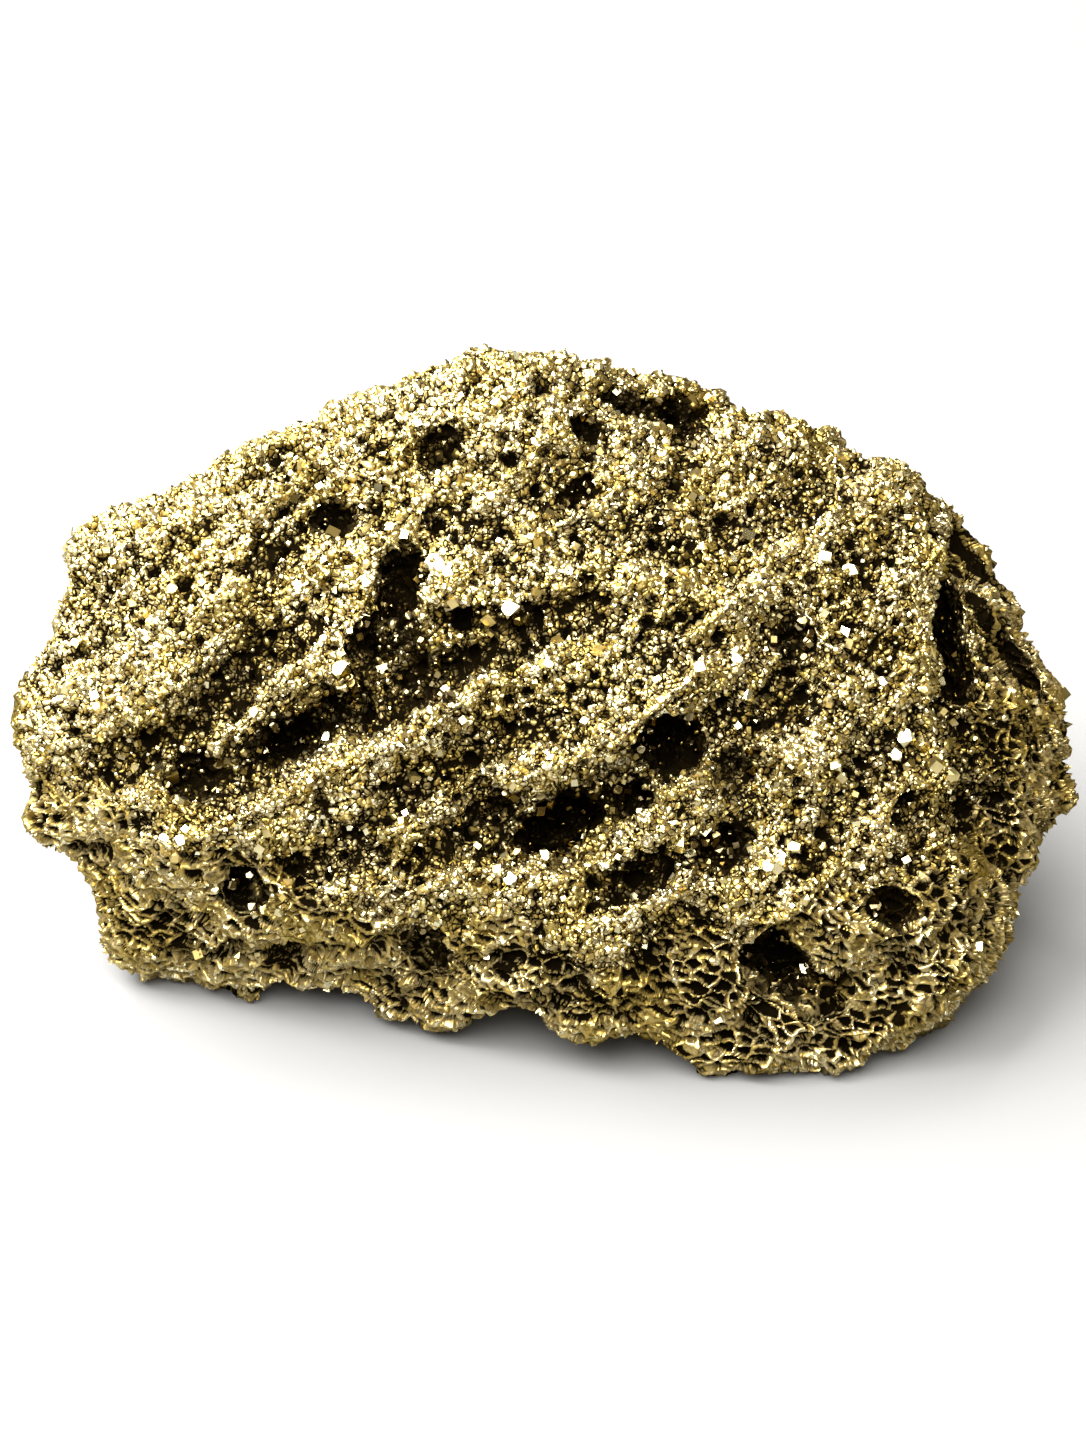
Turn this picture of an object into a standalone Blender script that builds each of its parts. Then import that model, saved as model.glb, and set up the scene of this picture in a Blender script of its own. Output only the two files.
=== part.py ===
# Pyrite specimen: one massive, fine-grained lump, pitted with crystal-lined vugs.
# Metres, +Z up, resting on z = 0. +X runs along its length, -Y is the face that is shown.
import itertools
import math

import bmesh
import bpy
import numpy as np
from mathutils import Matrix, Vector, noise
from mathutils.bvhtree import BVHTree

MM = 0.001
SEED = 11
NODE = "pyrite_lump"

# The shown face is laid out as the eye sees it: (right, up) in millimetres on an upright
# picture plane through the lump's middle, seen from this far away and this far above level.
VIEW_DISTANCE = 420.0
VIEW_ELEVATION = math.radians(32.0)
MIDDLE_HEIGHT = 26.0

# How finely the stone is worked, and how many facets are left at the end
FIRST_VOXEL = 1.15
SECOND_VOXEL = 0.85
EDGE_ROUNDING = 4
BODY_TRIANGLES = 6900

# Unevenness of the broken surface: (size across, height) in millimetres
LUMPS = [(14.0, 1.2), (6.5, 0.8)]
ROUGHNESS = [(3.2, 0.55), (1.7, 0.35)]
# Bedding that rises to the right: its tilt in degrees, size along and across, and height
BEDDING_TILT = 30.0
BEDDING = (14.0, 3.6, 0.75)

# Corners on the outline, clockwise from the left tip: (right, up, towards the eye)
OUTLINE_CORNERS = [
    (-48.8, -0.8, -3.0),
    (-48.4, 3.4, -4.0),
    (-45.2, 8.4, -5.0),
    (-41.4, 14.9, -7.0),
    (-34.5, 19.7, -6.0),
    (-21.2, 25.3, -4.0),
    (-11.2, 30.6, -2.0),
    (-3.4, 32.2, 0.0),
    (9.6, 29.2, -3.0),
    (20.4, 27.4, -6.0),
    (34.6, 19.8, -10.0),
    (41.2, 14.6, -12.0),
    (45.0, 5.6, -13.0),
    (48.2, -2.8, -12.0),
    (48.4, -8.2, -12.0),
    (43.2, -15.9, -11.0),
    (36.8, -26.2, -5.0),
    (34.6, -30.6, 0.0),
    (28.0, -32.8, 3.0),
    (18.6, -33.0, 4.0),
    (9.6, -27.6, 1.0),
    (1.0, -25.2, -3.0),
    (-10.8, -25.6, -5.0),
    (-28.5, -25.4, -10.0),
    (-37.8, -24.2, -9.2),
    (-41.8, -16.4, -7.0),
]
# Corners inside the outline: the brow over the steep lower band, the right-hand ridge and
# the swell of the long sloping face
FACE_CORNERS = [
    (-40.0, -6.5, 4.0),
    (-30.0, -15.0, 6.0),
    (-12.0, -16.5, 9.0),
    (6.0, -17.5, 11.5),
    (22.0, -17.0, 12.0),
    (34.0, -15.5, 8.5),
    (36.0, 17.0, -3.0),
    (37.8, 5.0, 3.5),
    (38.6, -8.0, 5.0),
    (36.5, -24.0, 6.0),
    (-33.0, 5.0, 5.0),
    (-18.0, 8.0, 9.0),
    (2.0, 14.0, 9.0),
    (20.0, 10.0, 9.5),
    (12.0, -4.0, 13.5),
]
# Corners of the hidden back and underside: (right, away, height above the ground)
BACK_CORNERS = [
    (-36.0, 20.0, 30.0),
    (-24.0, 32.0, 33.0),
    (-6.0, 37.0, 42.0),
    (14.0, 36.0, 38.0),
    (31.0, 28.0, 31.0),
    (-30.0, 28.0, 14.0),
    (-8.0, 38.0, 17.0),
    (18.0, 37.0, 14.0),
    (38.0, 22.0, 16.0),
    (-24.0, 18.0, -1.0),
    (-4.0, 27.0, -1.0),
    (20.0, 24.0, -1.0),
    (33.0, 8.0, -1.0),
    (30.0, -10.0, -1.0),
    (14.0, -9.0, -1.0),
    (-28.0, 0.0, -1.0),
]

# Grooves and ridges of the shown face: route as (right, up), half width, depth (a ridge is negative)
FURROWS = {
    "left_groove": ([(-39, -5), (-34, -3), (-28.5, 1), (-24, 6)], 2.6, 3.8),
    "upper_left_groove": ([(-30, 10.5), (-22, 15.2)], 1.7, 1.5),
    "long_groove": ([(-24, -4), (-15, 1), (-10, 4.5), (-3.5, 6.5), (5, 9.5)], 3.2, 4.2),
    "hollow_rise": ([(-11.6, 2), (-12.5, 13), (-9, 17), (-3.5, 16)], 2.4, 3.0),
    "slit_groove": ([(-18.5, -12.5), (-10, -8), (-4.5, -3.5), (2, -1)], 1.8, 3.0),
    "low_slit": ([(-22, -14.5), (-14, -13.5), (-8, -12), (-3, -9)], 1.5, 2.2),
    "vug_groove": ([(-3.5, -12), (5.5, -8), (16, -2), (22, 2)], 3.8, 2.8),
    "brow_groove": ([(5.5, -16.2), (16.8, -12.3), (19.5, -6)], 2.2, 2.4),
    "top_groove": ([(5.3, 11), (9.7, 16), (12.4, 21.4), (14.2, 26)], 1.9, 2.4),
    "mid_groove": ([(-4, 12), (4, 15.5), (8, 19)], 1.6, 1.8),
    "right_dip": ([(22, 13.5), (22.2, 4.5), (26.5, 0)], 1.6, 1.4),
    "right_cleft": ([(36.8, 16), (37.2, 1), (40, -6), (42, -14)], 2.6, 4.0),
    "left_ridge": ([(-40, 2), (-31, 6), (-27.5, 9.5)], 3.6, -1.7),
    "long_ridge": ([(-29, -10.5), (-12.5, -3), (-1, 5), (7, 12)], 3.0, -1.6),
    "middle_ridge": ([(-12.5, -12.3), (-2, -5.2), (9.5, 1), (14, 3)], 2.4, -1.6),
    "lip_ridge": ([(-5.5, -15.6), (7, -12.4), (14, -9)], 1.9, -1.5),
    "right_ridge": ([(35, 15), (36, 5), (35.5, -6)], 2.2, -1.4),
}

# Vugs of the shown face: (right, up, long, short, tilt in degrees, depth)
VUGS = [
    (36.7, 7.9, 19.0, 4.6, 92, 8.0),
    (-14.2, 5.4, 8.0, 6.2, 50, 7.0),
    (-12.4, 11.2, 7.6, 3.4, 65, 5.0),
    (-7.8, 7.8, 5.8, 2.8, 15, 4.0),
    (-18.6, 0.8, 5.2, 3.0, 45, 4.5),
    (-22.2, -2.2, 5.8, 3.6, 30, 5.5),
    (-31.1, -4.9, 6.2, 5.0, 0, 6.0),
    (-36.2, -4.9, 6.8, 3.2, 15, 4.5),
    (1.8, -9.8, 9.4, 5.0, 20, 8.5),
    (8.2, -8.2, 5.0, 3.2, 15, 6.0),
    (11.8, -4.2, 6.8, 5.6, 15, 8.5),
    (12.4, -9.4, 3.2, 2.8, 0, 4.5),
    (15.8, -12.6, 5.8, 3.0, 72, 5.5),
    (8.8, -15.0, 5.8, 3.2, 15, 4.5),
    (21.8, -23.4, 11.0, 4.2, -32, 7.5),
    (31.6, -17.2, 6.0, 3.4, 5, 6.5),
    (-25.8, -16.2, 5.8, 3.6, 61, 5.0),
    (-18.3, 17.2, 4.6, 4.0, 0, 5.5),
    (8.8, 27.0, 8.0, 3.4, -10, 5.0),
    (-9.2, 23.4, 5.4, 4.2, 20, 4.5),
    (-10.3, -21.5, 5.6, 4.6, 0, 5.0),
    (-7.4, -7.4, 7.4, 3.8, 38, 6.5),
    (-4.2, -9.2, 4.0, 2.8, 48, 5.0),
    (-14.6, -13.2, 3.6, 2.8, 10, 4.0),
    (-11.6, -13.0, 3.6, 2.8, 10, 4.0),
    (22.2, 6.6, 5.0, 3.0, 90, 3.5),
    (21.4, 12.8, 3.4, 2.6, 20, 3.0),
    (17.4, -4.7, 5.2, 3.2, 60, 4.0),
    (3.6, 19.4, 4.4, 3.4, 40, 4.0),
    (0.4, 29.2, 3.6, 2.6, 0, 3.0),
    (12.4, 21.2, 4.6, 2.4, 60, 3.0),
    (13.3, 13.9, 4.2, 2.4, 72, 3.0),
    (44.3, -4.2, 4.4, 3.2, 100, 4.0),
    (17.3, -30.6, 3.6, 2.4, -12, 3.5),
    (-20.9, -16.4, 4.2, 2.8, 15, 3.0),
    (26.4, -25.8, 4.2, 2.8, 10, 3.5),
    (33.2, -9.6, 5.4, 2.8, 76, 3.5),
    (-32.4, 8.6, 5.0, 2.8, 15, 2.5),
]
# Vugs of the sides, back and top: (direction from the middle, long, short, depth)
BACK_VUGS = [
    ((-0.55, 0.80, 0.25), 12.0, 5.0, 6.5),
    ((0.25, 0.95, 0.15), 10.0, 6.0, 7.0),
    ((0.70, 0.60, 0.40), 9.0, 4.0, 5.5),
    ((-0.10, 0.75, 0.65), 13.0, 5.0, 6.0),
    ((0.45, 0.62, 0.64), 8.0, 4.5, 5.0),
    ((-0.60, 0.62, 0.55), 9.0, 4.0, 5.0),
    ((0.95, 0.20, 0.00), 10.0, 4.0, 5.5),
    ((-0.95, 0.30, 0.05), 8.0, 4.0, 5.0),
    ((-0.20, 0.98, -0.20), 8.0, 4.0, 5.0),
    ((0.60, 0.75, -0.25), 9.0, 4.5, 5.0),
    ((-0.75, 0.60, -0.25), 7.0, 4.0, 4.5),
    ((0.05, 0.99, 0.30), 5.0, 3.4, 4.0),
    ((-0.30, 0.90, 0.05), 6.0, 3.0, 4.0),
    ((0.50, 0.85, 0.30), 5.0, 3.6, 4.0),
    ((-0.30, 0.75, 0.60), 5.0, 3.4, 4.0),
    ((0.20, 0.45, 0.90), 6.0, 3.2, 4.0),
    ((0.85, 0.45, -0.20), 5.0, 3.2, 4.0),
    ((-0.80, 0.55, 0.35), 6.0, 3.4, 4.0),
]
# Arches that lift the front edge off the ground between its feet: (right, away, wide, high, deep)
ARCHES = [
    (-19.0, -8.0, 15.0, 3.2, 12.0),
    (-9.5, -11.5, 8.0, 1.8, 9.0),
    (-0.5, -15.0, 12.0, 5.0, 15.0),
    (8.0, -17.5, 11.0, 3.6, 12.0),
]

# Large crystals of the shown face: (right, up, width across)
CRYSTALS = [
    (-17.8, 3.0, 2.2),
    (-32.7, 10.7, 1.7),
    (27.5, 12.3, 2.0),
    (25.2, 13.6, 1.7),
    (32.4, -2.4, 2.2),
    (34.0, -4.2, 1.8),
    (12.3, -11.7, 2.2),
    (0.4, -13.4, 2.0),
    (-3.6, -14.4, 2.0),
    (-9.2, 4.3, 1.9),
    (-18.9, -2.6, 1.8),
    (17.5, 4.3, 1.8),
    (14.3, 3.8, 1.8),
    (-23.8, 1.8, 1.7),
    (-27.8, -0.5, 1.6),
    (-32.2, -11.6, 1.8),
    (21.3, -13.2, 2.3),
    (26.6, -4.8, 2.0),
    (-9.5, 13.0, 2.0),
    (-2.7, 9.0, 2.2),
    (-10.2, -8.2, 2.0),
    (4.5, -7.2, 1.9),
    (-1.4, -8.8, 2.0),
    (8.6, -3.0, 1.8),
    (14.6, -14.4, 1.9),
    (40.0, 1.8, 1.9),
    (28.2, 21.0, 1.8),
    (-14.4, 6.8, 1.9),
    (24.0, -25.2, 2.0),
    (34.6, -15.4, 1.8),
    (-25.0, -15.2, 1.8),
    (9.6, 24.6, 1.8),
]
BACK_CRYSTAL_COUNT = 44
BACK_CRYSTAL_WIDTH = (1.6, 2.6)
CRYSTAL_SUNK = 0.28
WELD = 0.01


def eye_frame():
    """Where the eye is, and the picture plane's right, up and outward directions."""
    outward = Vector((0.0, -math.cos(VIEW_ELEVATION), math.sin(VIEW_ELEVATION)))
    right = Vector((1.0, 0.0, 0.0))
    up = outward.cross(right)
    middle = Vector((0.0, 0.0, MIDDLE_HEIGHT)) * MM
    return middle, right, up, outward


MIDDLE, RIGHT, UP, OUTWARD = eye_frame()
EYE = MIDDLE + OUTWARD * VIEW_DISTANCE * MM


def picture_point(right, up):
    """The point of the picture plane at these millimetres."""
    return MIDDLE + (RIGHT * right + UP * up) * MM


def seen_point(right, up, forward):
    """The point seen at (right, up) that stands this far in front of the picture plane."""
    ray = picture_point(right, up) - EYE
    return EYE + ray * (1.0 - forward / VIEW_DISTANCE)


def seen_at(points):
    """(right, up) in millimetres at which the eye sees each of these points."""
    from_eye = points - np.array(EYE)
    depth = -(from_eye @ np.array(OUTWARD))
    across = from_eye @ np.array(RIGHT) * VIEW_DISTANCE / depth
    raised = from_eye @ np.array(UP) * VIEW_DISTANCE / depth
    return np.stack([across, raised], axis=1)


def link(name, mesh):
    obj = bpy.data.objects.new(name, mesh)
    bpy.context.scene.collection.objects.link(obj)
    return obj


def helper(name, mesh, group):
    """A cutter or a crystal that a Boolean reads."""
    obj = bpy.data.objects.new(name, mesh)
    obj.hide_render = True
    obj.display_type = "WIRE"
    group.objects.link(obj)
    return obj


def new_group(name):
    group = bpy.data.collections.new(name)
    bpy.context.scene.collection.children.link(group)
    return group


def baked(obj):
    """The object's mesh with its modifiers carried out, on an object of the same name."""
    graph = bpy.context.evaluated_depsgraph_get()
    made = bpy.data.meshes.new_from_object(obj.evaluated_get(graph))
    name = obj.name
    bpy.data.objects.remove(obj)
    return link(name, made)


def combined(obj, group, operation):
    """The object with the group's objects joined to it or cut from it."""
    modifier = obj.modifiers.new(group.name, "BOOLEAN")
    modifier.operation = operation
    modifier.solver = "EXACT"
    modifier.operand_type = "COLLECTION"
    modifier.collection = group
    made = baked(obj)
    for used in list(group.objects):
        bpy.data.objects.remove(used)
    bpy.data.collections.remove(group)
    return made


def evenly_meshed(obj, voxel):
    remesh = obj.modifiers.new("even_mesh", "REMESH")
    remesh.mode = "VOXEL"
    remesh.voxel_size = voxel * MM
    return baked(obj)


def surface_of(obj):
    build = bmesh.new()
    build.from_mesh(obj.data)
    tree = BVHTree.FromBMesh(build)
    build.free()
    return tree


def hull_mesh(name, corners):
    """The closed convex mesh around these corners."""
    build = bmesh.new()
    for corner in corners:
        build.verts.new(corner)
    hull = bmesh.ops.convex_hull(build, input=build.verts)
    spare = set(hull["geom_interior"]) | set(hull["geom_unused"])
    bmesh.ops.delete(build, geom=[v for v in spare if isinstance(v, bmesh.types.BMVert)], context="VERTS")
    bmesh.ops.recalc_face_normals(build, faces=build.faces)
    mesh = bpy.data.meshes.new(name)
    build.to_mesh(mesh)
    build.free()
    return mesh


def rough_boulder():
    """The lump's broad broken faces: the convex body through all its corners, edges worn."""
    corners = [seen_point(*c) for c in OUTLINE_CORNERS + FACE_CORNERS]
    corners += [Vector(c) * MM for c in BACK_CORNERS]
    obj = evenly_meshed(link(NODE, hull_mesh(NODE, corners)), FIRST_VOXEL)
    smooth = obj.modifiers.new("worn_edges", "SMOOTH")
    smooth.factor = 0.5
    smooth.iterations = EDGE_ROUNDING
    return baked(obj)


def points_and_normals(obj):
    count = len(obj.data.vertices)
    points = np.empty(count * 3, np.float32)
    normals = np.empty(count * 3, np.float32)
    obj.data.vertices.foreach_get("co", points)
    obj.data.vertices.foreach_get("normal", normals)
    return points.reshape(-1, 3).astype(float), normals.reshape(-1, 3).astype(float)


def raise_surface(obj, points, normals, height):
    """Moves each point out along its normal by its height in millimetres."""
    raised = points + normals * height[:, None] * MM
    obj.data.vertices.foreach_set("co", raised.astype(np.float32).ravel())
    obj.data.update()


def lumpy(points, scale, offset=0.0):
    """Smooth noise about zero whose lumps are about this many millimetres across."""
    shift = Vector((scale + offset, 2 * scale, SEED))
    return np.array([noise.noise(Vector(p) / (scale * MM) + shift) for p in points])


def distance_to_route(points, route):
    """Distance from each (right, up) point to a polyline."""
    nearest = np.full(len(points), 1e9)
    for start, end in zip(route, route[1:]):
        start, end = np.array(start, float), np.array(end, float)
        along = end - start
        share = np.clip((points - start) @ along / (along @ along), 0, 1)
        nearest = np.minimum(nearest, np.linalg.norm(points - start - share[:, None] * along, axis=1))
    return nearest


def bedding_space(points):
    """The points in a space where bedding that rises to the right is as thick as it is long."""
    long, thick, _ = BEDDING
    turn = math.radians(BEDDING_TILT)
    along = RIGHT * math.cos(turn) + UP * math.sin(turn)
    through = UP * math.cos(turn) - RIGHT * math.sin(turn)
    return np.stack([points @ np.array(along) / long, points @ np.array(through) / thick,
                     points @ np.array(OUTWARD) / long], axis=1)


def carve_relief(obj):
    """Grooves and ridges as the eye sees them, bedding, and lumps over the whole body."""
    points, normals = points_and_normals(obj)
    to_eye = np.array(EYE) - points
    to_eye /= np.linalg.norm(to_eye, axis=1)[:, None]
    facing = np.clip((np.einsum("ij,ij->i", normals, to_eye) - 0.1) / 0.35, 0, 1)
    wander = np.stack([lumpy(points, 5.0), lumpy(points, 5.0, 40.0)], axis=1) * 1.4
    seen = seen_at(points) + wander
    height = np.zeros(len(points))
    for route, half_width, depth in FURROWS.values():
        near = np.clip(1 - distance_to_route(seen, route) / (half_width * 1.3), 0, 1)
        height -= depth * near * near * (3 - 2 * near) * facing
    for scale, tall in LUMPS:
        height += tall * lumpy(points, scale)
    height += BEDDING[2] * np.tanh(4 * lumpy(bedding_space(points), 1.0))
    raise_surface(obj, points, normals, height)


def roughen(obj):
    """Small knobs and hollows between the crystals, also inside the vugs."""
    points, normals = points_and_normals(obj)
    height = sum(tall * lumpy(points, scale) for scale, tall in ROUGHNESS)
    raise_surface(obj, points, normals, height)


def lumpy_ellipsoid(name, centre, ways, half_sizes, group):
    build = bmesh.new()
    bmesh.ops.create_icosphere(build, subdivisions=3, radius=1.0)
    axes = Matrix(ways).transposed()
    for vert in build.verts:
        lump = 1.0 + 0.35 * noise.noise(vert.co * 1.6 + centre / (3 * MM))
        spot = Vector([c * half for c, half in zip(vert.co, half_sizes)]) * lump
        vert.co = centre + axes @ (spot * MM)
    mesh = bpy.data.meshes.new(name)
    build.to_mesh(mesh)
    build.free()
    return helper(name, mesh, group)


def dig_vug(name, mouth, inward, along, size, rng, group):
    """A row of overlapping chambers along the vug, each of its own width and depth."""
    long, short, deep = size
    along = (along - inward * along.dot(inward)).normalized()
    aside = inward.cross(along)
    count = max(2, round(long / short))
    for n in range(count):
        place = (n + 0.5) / count * 2 - 1
        end = 1 - 0.35 * abs(place)
        step = along * place * (long - short) / 2 + aside * rng.uniform(-0.22, 0.22) * short
        halves = (
            0.5 * (long - short) / count + 0.42 * short,
            0.5 * short * end * rng.uniform(0.85, 1.25),
            0.8 * deep * end * rng.uniform(0.75, 1.15),
        )
        middle = mouth + (step + inward * 0.2 * deep) * MM
        lumpy_ellipsoid(f"{name}_{n}", middle, (along, aside, inward), halves, group)


def cut_vugs(obj):
    tree = surface_of(obj)
    rng = np.random.default_rng(SEED)
    group = new_group("vugs")
    for n, (right, up, long, short, tilt, deep) in enumerate(VUGS):
        ray = (picture_point(right, up) - EYE).normalized()
        spot, normal, _, _ = tree.ray_cast(EYE, ray)
        turn = math.radians(tilt)
        along = RIGHT * math.cos(turn) + UP * math.sin(turn)
        dig_vug(f"vug_{n}", spot, (ray - normal).normalized(), along, (long, short, deep), rng, group)
    for n, (way, long, short, deep) in enumerate(BACK_VUGS):
        ray = Vector(way).normalized()
        spot, normal, _, _ = tree.ray_cast(MIDDLE + ray * 0.2, -ray)
        along = Vector((math.cos(n), math.sin(n), 0.4))
        dig_vug(f"back_vug_{n}", spot, -normal, along, (long, short, deep), rng, group)
    upright = (Vector((1, 0, 0)), Vector((0, 1, 0)), Vector((0, 0, 1)))
    for n, (right, away, wide, high, deep) in enumerate(ARCHES):
        lumpy_ellipsoid(f"arch_{n}", Vector((right, away, 0)) * MM, upright, (wide / 2, deep / 2, high), group)
    return combined(obj, group, "DIFFERENCE")


def thin_out(obj, triangles):
    """Fewer, larger facets where the stone is flat."""
    to_triangles(obj)
    decimate = obj.modifiers.new("facets", "DECIMATE")
    decimate.ratio = triangles / len(obj.data.polygons)
    return baked(obj)


def to_triangles(obj):
    build = bmesh.new()
    build.from_mesh(obj.data)
    bmesh.ops.triangulate(build, faces=build.faces)
    build.to_mesh(obj.data)
    build.free()


def cube_corners():
    return [Vector((x, y, z)) for x in (-1, 1) for y in (-1, 1) for z in (-1, 1)]


def pyritohedron_corners():
    """The twelve-faced form that pyrite is named for, every face a pentagon."""
    slope = 0.5
    long, short = 1 + slope, 1 - slope * slope
    corners = cube_corners()
    for a in (-long, long):
        for b in (-short, short):
            corners += [Vector((0, a, b)), Vector((b, 0, a)), Vector((a, b, 0))]
    return [c / long for c in corners]


def grow_crystals(obj):
    """Large crystals fused to the stone: cubes, with pyritohedra between them."""
    tree = surface_of(obj)
    rng = np.random.default_rng(SEED)
    spots = []
    for right, up, width in CRYSTALS:
        spot, normal, _, _ = tree.ray_cast(EYE, (picture_point(right, up) - EYE).normalized())
        spots.append((spot, normal, width))
    while len(spots) < len(CRYSTALS) + BACK_CRYSTAL_COUNT:
        vug = Vector(BACK_VUGS[len(spots) % len(BACK_VUGS)][0])
        spread = rng.choice([0.12, 1.5])
        ray = (vug + Vector(rng.normal(size=3)) * spread).normalized()
        spot, normal, _, _ = tree.ray_cast(MIDDLE + ray * 0.2, -ray)
        if ray.dot(OUTWARD) < 0.35 and spot.z > 3 * MM:
            spots.append((spot, normal, rng.uniform(*BACK_CRYSTAL_WIDTH)))
    group = new_group("crystals")
    for n, (spot, normal, width) in enumerate(spots):
        axis = Vector(rng.normal(size=3)).normalized()
        turn = Matrix.Rotation(rng.uniform(0, 2 * math.pi), 3, axis)
        form = pyritohedron_corners() if n % 3 == 2 else cube_corners()
        middle = spot - normal * CRYSTAL_SUNK * width * MM
        corners = [middle + turn @ (corner * width / 2 * MM) for corner in form]
        helper(f"crystal_{n}", hull_mesh(f"crystal_{n}", corners), group)
    return combined(obj, group, "UNION")


def cut_base(obj):
    """The broken underside that it stands on, flat at the ground."""
    low, high = Vector((-0.1, -0.1, -0.05)), Vector((0.1, 0.1, 0.0))
    corners = [Vector([(low, high)[side][i] for i, side in enumerate(sides)])
               for sides in itertools.product((0, 1), repeat=3)]
    group = new_group("base")
    helper("ground_block", hull_mesh("ground_block", corners), group)
    return combined(obj, group, "DIFFERENCE")


def keep_main_body(obj):
    """Drops crumbs that the vugs left loose, and welds points that lie on each other."""
    build = bmesh.new()
    build.from_mesh(obj.data)
    bmesh.ops.remove_doubles(build, verts=build.verts, dist=WELD * MM)
    left, bodies = set(build.verts), []
    while left:
        body, edge = set(), [left.pop()]
        while edge:
            vert = edge.pop()
            body.add(vert)
            reached = {e.other_vert(vert) for e in vert.link_edges} & left
            left -= reached
            edge += list(reached)
        bodies.append(body)
    bodies.sort(key=len)
    for crumb in bodies[:-1]:
        bmesh.ops.delete(build, geom=list(crumb), context="VERTS")
    build.to_mesh(obj.data)
    build.free()


def centre(obj):
    """Moves the mesh so that its box stands on the origin, and returns the move."""
    points, _ = points_and_normals(obj)
    low, high = points.min(axis=0), points.max(axis=0)
    move = Vector((-(low[0] + high[0]) / 2, -(low[1] + high[1]) / 2, -low[2]))
    obj.data.transform(Matrix.Translation(move))
    return move


def pyrite():
    """Pale brassy sulphide with a metallic lustre, dulled by its fine grain."""
    material = bpy.data.materials.new("pyrite")
    material.use_nodes = True
    shader = material.node_tree.nodes["Principled BSDF"]
    shader.inputs["Base Color"].default_value = (0.60, 0.50, 0.25, 1.0)
    shader.inputs["Metallic"].default_value = 1.0
    shader.inputs["Roughness"].default_value = 0.35
    return material


def main():
    for old in list(bpy.data.objects):
        bpy.data.objects.remove(old)
    lump = rough_boulder()
    carve_relief(lump)
    lump = cut_vugs(lump)
    lump = evenly_meshed(lump, SECOND_VOXEL)
    roughen(lump)
    lump = evenly_meshed(lump, SECOND_VOXEL)
    lump = thin_out(lump, BODY_TRIANGLES)
    lump = grow_crystals(lump)
    lump = cut_base(lump)
    to_triangles(lump)
    keep_main_body(lump)
    move = centre(lump)
    lump.data.materials.clear()
    lump.data.materials.append(pyrite())
    for face in lump.data.polygons:
        face.use_smooth = False
    print(NODE, len(lump.data.polygons), "triangles, moved by", [round(x / MM, 3) for x in move], "mm")


main()
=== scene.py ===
import math
import time

import bmesh
import bpy
import numpy as np
from mathutils import Matrix, Vector, noise
from mathutils.bvhtree import BVHTree
from mathutils.kdtree import KDTree


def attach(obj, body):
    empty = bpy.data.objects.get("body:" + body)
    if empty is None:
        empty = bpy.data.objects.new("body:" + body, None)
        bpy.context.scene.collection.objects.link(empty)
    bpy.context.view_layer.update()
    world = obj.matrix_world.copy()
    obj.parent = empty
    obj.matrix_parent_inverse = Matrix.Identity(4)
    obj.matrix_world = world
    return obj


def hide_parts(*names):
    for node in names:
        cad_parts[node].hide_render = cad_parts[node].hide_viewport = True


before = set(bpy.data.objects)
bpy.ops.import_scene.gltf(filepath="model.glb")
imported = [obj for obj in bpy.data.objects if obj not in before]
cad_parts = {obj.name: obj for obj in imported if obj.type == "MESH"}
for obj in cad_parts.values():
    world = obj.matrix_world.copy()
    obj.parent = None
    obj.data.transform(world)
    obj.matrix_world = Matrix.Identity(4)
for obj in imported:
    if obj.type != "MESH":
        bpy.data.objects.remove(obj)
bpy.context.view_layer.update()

mm = 0.001
started = time.time()
rng = np.random.default_rng(5)
noise.seed_set(5)  # or noise_vector would bend differently in each run


def report(words):
    print(f"{time.time() - started:6.1f} s  {words}")


# The camera: a long lens, looking down on the lump's long side as the photo does.
# Places in the picture's plane are given in mm to the right of and above its middle.
photo = {
    "width": 1086,
    "height": 1448,
    "middlePixel": (540.5, 711),
    "mmPerPixel": 0.0888,
}
view = {
    "distance": 420 * mm,
    "elevation": 32,
    "middle": Vector((-1.032, -8.551, 26.0)) * mm,  # the middle of the lump that the eye sees
    "sensor": 36.0,
}
elevation = math.radians(view["elevation"])
outward = Vector((0, -math.cos(elevation), math.sin(elevation)))
rightward = Vector((1, 0, 0))
upward = outward.cross(rightward)
eye = view["middle"] + outward * view["distance"]


def makeCamera():
    camera = bpy.data.cameras.new("camera")
    camera.sensor_fit = "VERTICAL"
    camera.sensor_height = view["sensor"]
    frameHeight = photo["height"] * photo["mmPerPixel"] * mm
    camera.lens = view["sensor"] * view["distance"] / frameHeight
    camera.shift_x = (photo["width"] / 2 - photo["middlePixel"][0]) / photo["height"]
    camera.shift_y = (photo["middlePixel"][1] - photo["height"] / 2) / photo["height"]
    camera.clip_start = 0.01
    obj = bpy.data.objects.new("camera", camera)
    turn = Matrix((rightward, upward, outward)).transposed().to_4x4()
    obj.matrix_world = Matrix.Translation(eye) @ turn
    bpy.context.scene.collection.objects.link(obj)
    bpy.context.scene.camera = obj


makeCamera()


# Colours and nodes

def linear(hexColour):
    # sRGB hex to the linear values that Blender works in
    parts = [int(hexColour[i:i + 2], 16) / 255 for i in (1, 3, 5)]
    return tuple(c / 12.92 if c <= 0.04045 else ((c + 0.055) / 1.055) ** 2.4 for c in parts) + (1.0,)


def addNode(tree, kind, settings=None, links=None):
    node = tree.nodes.new(kind)
    for key, value in (settings or {}).items():
        if isinstance(key, int) or key in node.inputs:
            node.inputs[key].default_value = value
        else:
            setattr(node, key, value)
    for key, source in (links or {}).items():
        tree.links.new(source, node.inputs[key])
    return node


def newMaterial(name):
    material = bpy.data.materials.new(name)
    material.use_nodes = True
    material.node_tree.nodes.clear()
    return material, material.node_tree


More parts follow.
